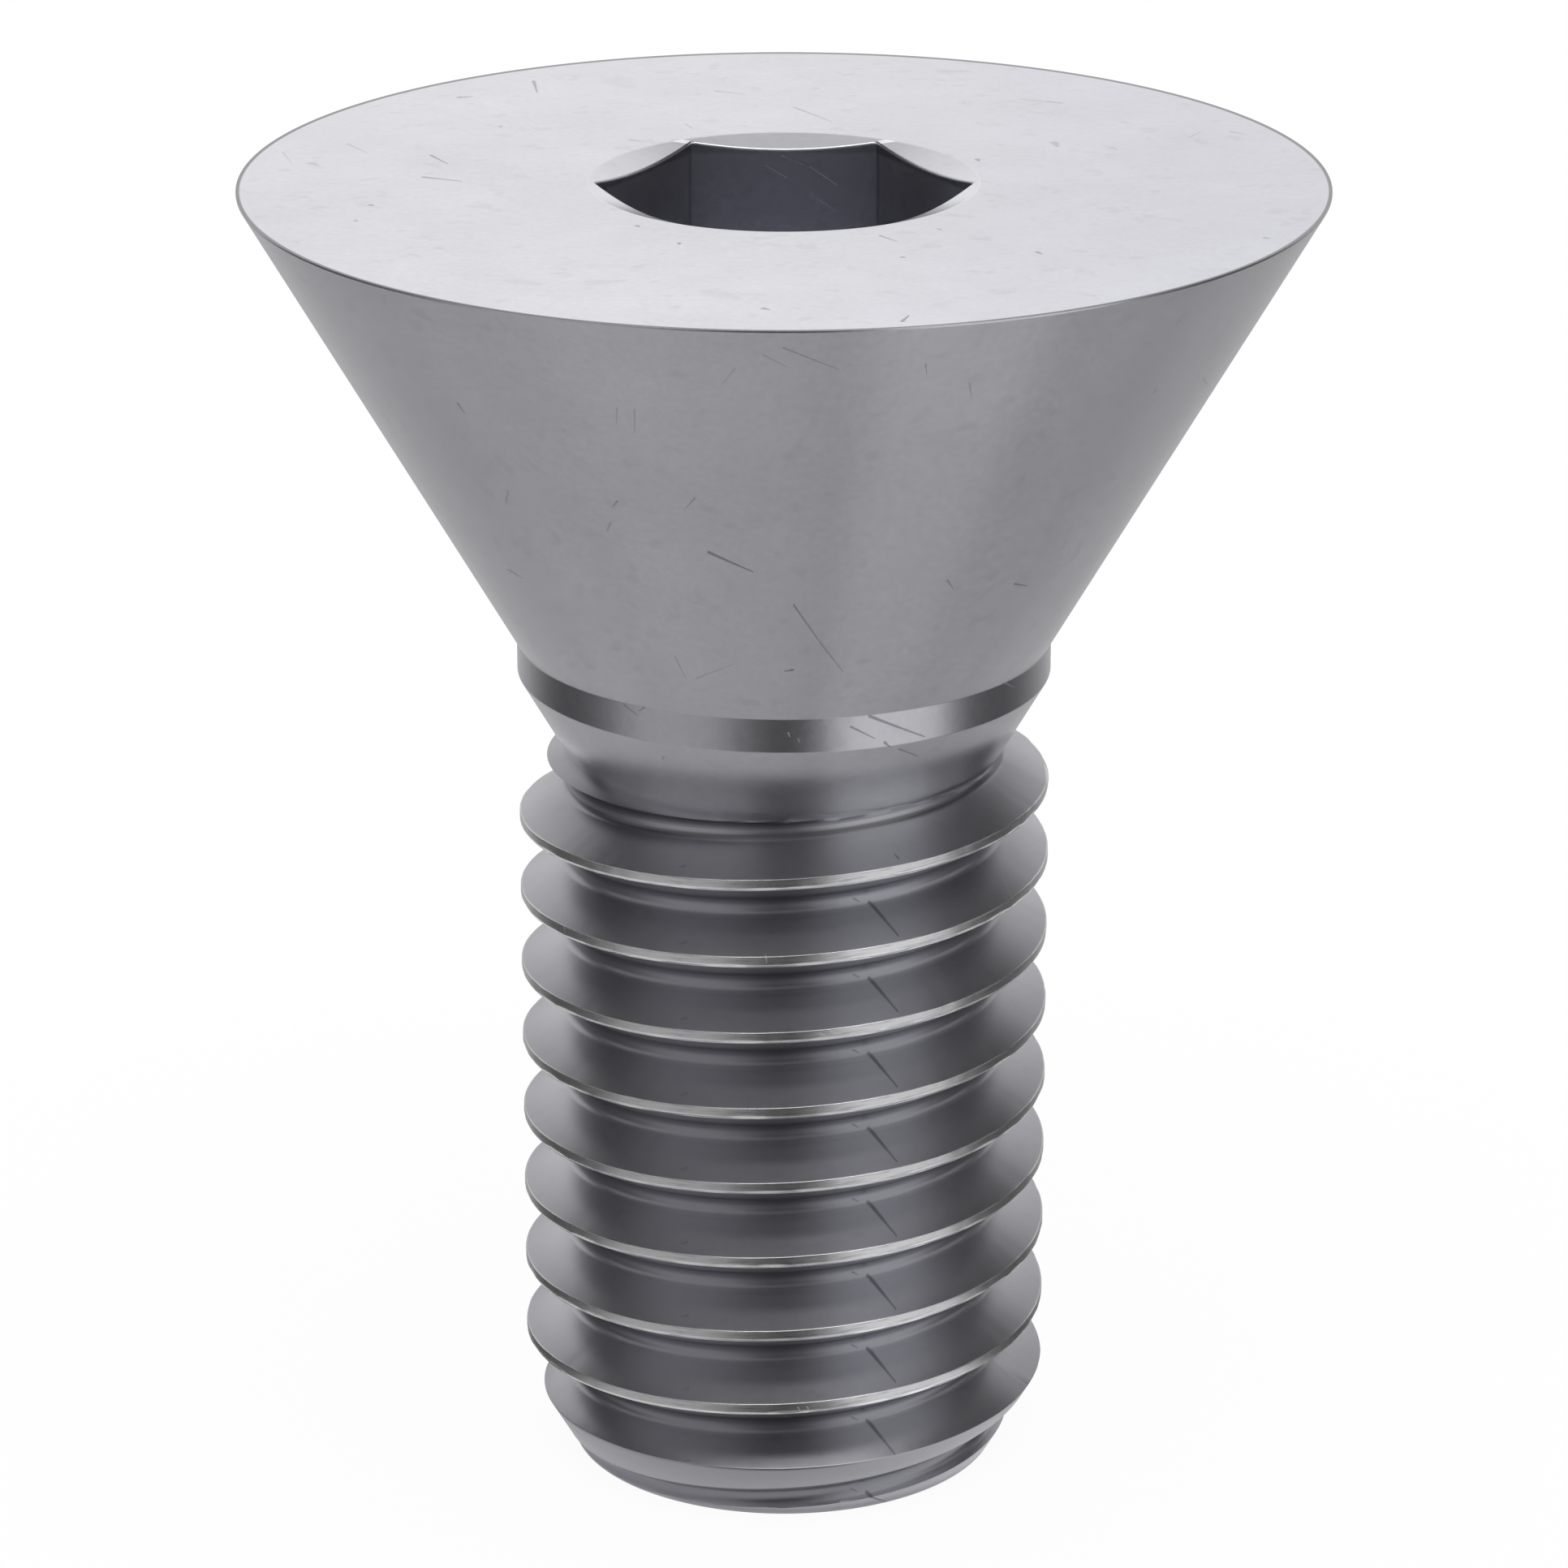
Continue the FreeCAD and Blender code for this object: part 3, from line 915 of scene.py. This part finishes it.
def make_floor():
    """A plain white floor that the screw stands on; its shadow stays, but faint."""
    white = Finish("white_floor")
    matt = white.node("ShaderNodeBsdfDiffuse", None, {"Color": FLOOR_WHITE})
    glow = white.node("ShaderNodeEmission", None, {"Color": WHITE, "Strength": 1.0})
    seen = white.node("ShaderNodeLightPath")
    outputs = seen.socket.node.outputs
    direct = seen + Wire(white, outputs["Is Glossy Ray"]) + Wire(white, outputs["Is Transmission Ray"])
    share = direct.least(1.0) * FLOOR_GLOW
    shader = white.node("ShaderNodeMixShader", None, {0: share, 1: matt, 2: glow})
    half = FLOOR_SIZE / 2 * MM
    mesh = bpy.data.meshes.new("floor")
    corners = [(-half, -half, 0), (half, -half, 0), (half, half, 0), (-half, half, 0)]
    mesh.from_pydata(corners, [], [(0, 1, 2, 3)])
    floor = bpy.data.objects.new("floor", mesh)
    floor.data.materials.append(white.surface(shader))
    bpy.context.scene.collection.objects.link(floor)


def make_world():
    """An even white sky."""
    world = bpy.data.worlds.new("studio")
    world.use_nodes = True
    background = world.node_tree.nodes["Background"]
    background.inputs["Color"].default_value = WHITE
    background.inputs["Strength"].default_value = SKY
    bpy.context.scene.world = world


def make_lamp(name, azimuth, elevation, distance, width, height, radiance):
    """A soft box aimed at the middle of the head's face."""
    area = width * height * MM * MM
    lamp = bpy.data.lights.new(name, "AREA")
    lamp.shape = "RECTANGLE"
    lamp.size = width * MM
    lamp.size_y = height * MM
    lamp.energy = radiance * math.pi * area
    aim = Vector((0, 0, LENGTH)) * MM
    turn = math.radians(azimuth)
    rise = math.radians(elevation)
    away = Vector((math.sin(turn) * math.cos(rise), -math.cos(turn) * math.cos(rise), math.sin(rise)))
    stand = bpy.data.objects.new(name, lamp)
    stand.location = aim + away * distance * MM
    stand.rotation_euler = away.to_track_quat("Z", "Y").to_euler()
    bpy.context.scene.collection.objects.link(stand)


# Low card strips stand on a mat round the screw, as a studio sets them for bare metal.
# Each row: azimuth in degrees from the front, the strips' tone, their height as a share of the gap
# between them, and the mat's tone. Between rows everything changes evenly.
AROUND = [
    (-180, 0.85, 0.40, 0.85),
    (-165, 0.62, 0.40, 0.72),
    (-154, 0.56, 0.40, 0.66),
    (-140, 0.48, 0.42, 0.70),
    (-120, 0.21, 0.45, 0.86),
    (-108, 0.11, 0.55, 0.90),
    (-95, 0.12, 0.58, 0.86),
    (-80, 0.19, 0.70, 0.78),
    (-68, 0.42, 1.00, 0.60),
    (-58, 0.55, 1.00, 0.59),
    (-30, 0.51, 1.00, 0.59),
    (-20, 0.33, 0.85, 0.62),
    (-10, 0.15, 0.72, 0.63),
    (0, 0.08, 0.72, 0.63),
    (8, 0.12, 0.72, 0.60),
    (16, 0.36, 0.90, 0.50),
    (22, 0.73, 1.00, 0.45),
    (30, 0.95, 1.00, 0.45),
    (42, 0.94, 1.00, 0.42),
    (56, 0.92, 1.00, 0.31),
    (66, 0.80, 1.00, 0.35),
    (73, 0.36, 0.74, 0.48),
    (82, 0.16, 0.60, 0.66),
    (98, 0.11, 0.60, 0.79),
    (110, 0.14, 0.55, 0.81),
    (120, 0.22, 0.45, 0.82),
    (140, 0.43, 0.42, 0.67),
    (154, 0.55, 0.40, 0.62),
    (165, 0.60, 0.40, 0.72),
    (180, 0.85, 0.40, 0.85),
]
STRIP_TONE, STRIP_SHARE, MAT_TONE = 1, 2, 3

# Each ring of strips is wider than the last by the same factor.
CARD_FIRST_R = 6.0
CARD_SPACING = 1.06
CARD_ROWS = 60
CARD_STEP = 3
CARD_LAST_R = CARD_FIRST_R * CARD_SPACING ** CARD_ROWS
MAT_LIFT = 0.01

# The mat next to the screw's end: its tone, how much lighter it is to the right, and its edges.
FOOT_MAT = 0.67
FOOT_MAT_RIGHT = 0.24
FOOT_MAT_FIRST_R = RELIEF_R + 0.05
FOOT_MAT_R = 5.4

# Flags hang round the screw: from and to azimuth, low and high elevation, tone.
FLAGS = [
    ("flag_front_low", -20, 17, -5.5, 18, 0.05),
    ("flag_front", -20, 17, 18, 76, 0.21),
    ("flag_right", 73, 128, -5.5, 5, 0.10),
    ("flag_right_window", 76, 106, 5, 27, 0.45),
    ("flag_right_back", 106, 128, 5, 27, 0.10),
    ("flag_right_high", 73, 128, 27, 70, 0.10),
    ("flag_left", 232, 287, -5.5, 5, 0.10),
    ("flag_left_window", 254, 284, 5, 27, 0.45),
    ("flag_left_back", 232, 254, 5, 27, 0.10),
    ("flag_left_high", 232, 287, 27, 70, 0.10),
    ("flag_front_right", 17, 24, 3, 76, 0.50),
    ("flag_left_gap", 204, 232, 31, 37, 0.55),
    ("flag_front_left", 287, 340, -5.5, 60, 0.50),
    ("flag_back_right", 140, 166, 8, 31, 0.76),
    ("flag_back_left", 194, 220, 8, 31, 0.86),
    ("flag_high_right", 128, 158, 31, 74, 0.05),
    ("flag_high_left", 204, 232, 37, 74, 0.07),
]
FLAG_R = 260
FLAG_STEP = 6


def from_front(azimuth, radius, height):
    """A point in metres, its azimuth in degrees from the front towards +X."""
    turn = math.radians(azimuth)
    return math.sin(turn) * radius * MM, -math.cos(turn) * radius * MM, height * MM


def even_tone(name, tone):
    """A card's material: the same tone from every side."""
    return toned(Finish(name), (tone, tone, tone, 1))


def painted_tone(name):
    """The same, with the tone painted on the card's points."""
    card = Finish(name)
    return toned(card, card.node("ShaderNodeAttribute", {"attribute_name": "tone"}))


def toned(card, tone):
    """The card gives off that tone, and lights nothing else."""
    card.material.cycles.emission_sampling = "NONE"
    return card.surface(card.node("ShaderNodeEmission", None, {"Color": tone, "Strength": 1.0}))


def around(azimuth, column):
    """What AROUND gives in that column at an azimuth."""
    for before, after in zip(AROUND, AROUND[1:]):
        if azimuth <= after[0]:
            share = (azimuth - before[0]) / (after[0] - before[0])
            return before[column] + (after[column] - before[column]) * share
    return AROUND[-1][column]


def strip_tone(azimuth):
    return around(azimuth, STRIP_TONE)


def mat_tone(azimuth):
    return around(azimuth, MAT_TONE)


def foot_tone(azimuth):
    """The mat next to the screw's end, lighter to the right."""
    return FOOT_MAT + FOOT_MAT_RIGHT * max(0.0, math.sin(math.radians(azimuth)))


def make_cards():
    """Rings of low card with the mat between them. Only the metal's reflections see them."""
    points = []
    tones = []
    faces = []

    def ring(tone, low_r, high_r, low_z, height=0):
        for azimuth in range(-180, 181, CARD_STEP):
            high_z = low_z + height * around(azimuth, STRIP_SHARE)
            points.extend([from_front(azimuth, low_r, low_z), from_front(azimuth, high_r, high_z)])
            tones.extend([tone(azimuth)] * 2)
            if azimuth > -180:
                n = len(points)
                faces.append((n - 4, n - 2, n - 1, n - 3))

    for row in range(CARD_ROWS):
        radius = CARD_FIRST_R * CARD_SPACING ** row
        ring(strip_tone, radius, radius, 0, radius * (CARD_SPACING - 1))
    ring(mat_tone, CARD_FIRST_R, CARD_LAST_R, MAT_LIFT)
    ring(strip_tone, FOOT_MAT_R, CARD_FIRST_R, MAT_LIFT)
    ring(foot_tone, FOOT_MAT_FIRST_R, FOOT_MAT_R, MAT_LIFT)
    mesh = bpy.data.meshes.new("cards")
    mesh.from_pydata(points, [], faces)
    paint = mesh.color_attributes.new("tone", "FLOAT_COLOR", "POINT")
    for point, tone in zip(paint.data, tones):
        point.color = (tone, tone, tone, 1)
    mesh.materials.append(painted_tone("card"))
    set_up("cards", mesh)


def make_flag(name, start, end, low, high, tone):
    """A curved flag above the floor, seen only by the metal's reflections."""
    points = []
    faces = []
    across = math.ceil((end - start) / FLAG_STEP)
    up = math.ceil((high - low) / FLAG_STEP)
    for row in range(up + 1):
        elevation = math.radians(low + (high - low) * row / up)
        for step in range(across + 1):
            azimuth = start + (end - start) * step / across
            height = LENGTH + FLAG_R * math.sin(elevation)
            points.append(from_front(azimuth, FLAG_R * math.cos(elevation), height))
            if row and step:
                n = len(points) - 1
                faces.append((n, n - 1, n - across - 2, n - across - 1))
    mesh = bpy.data.meshes.new(name)
    mesh.from_pydata(points, [], faces)
    mesh.materials.append(even_tone(name, tone))
    set_up(name, mesh)


def set_up(name, mesh):
    """Stands a card or flag in the studio, where only reflections see it."""
    card = bpy.data.objects.new(name, mesh)
    bpy.context.scene.collection.objects.link(card)
    card.visible_camera = False
    card.visible_diffuse = False
    card.visible_shadow = False


# The camera: the height on the axis that it looks at, its distance and elevation, and its lens.
CAMERA_AIM_Z = 13.268
CAMERA_DISTANCE = 123.899
CAMERA_RISE = math.radians(19.879)
CAMERA_LENS = 150.57
CAMERA_SENSOR = 36
CAMERA_SEES_FROM = 1
CAMERA_SEES_TO = 10000


def make_camera():
    """Looks down on the head from the front, a little above the rim."""
    camera = bpy.data.cameras.new("camera")
    camera.sensor_width = CAMERA_SENSOR
    camera.lens = CAMERA_LENS
    camera.clip_start = CAMERA_SEES_FROM * MM
    camera.clip_end = CAMERA_SEES_TO * MM
    stand = bpy.data.objects.new("camera", camera)
    aim = Vector((0, 0, CAMERA_AIM_Z)) * MM
    back = Vector((0, -math.cos(CAMERA_RISE), math.sin(CAMERA_RISE)))
    stand.location = aim + back * (CAMERA_DISTANCE * MM)
    stand.rotation_euler = back.to_track_quat("Z", "Y").to_euler()
    bpy.context.scene.collection.objects.link(stand)
    bpy.context.scene.camera = stand


make_camera()
make_screw()
make_floor()
make_world()
for lamp in LAMPS:
    make_lamp(*lamp)
make_cards()
for flag in FLAGS:
    make_flag(*flag)
bpy.context.scene.view_settings.view_transform = "Standard"
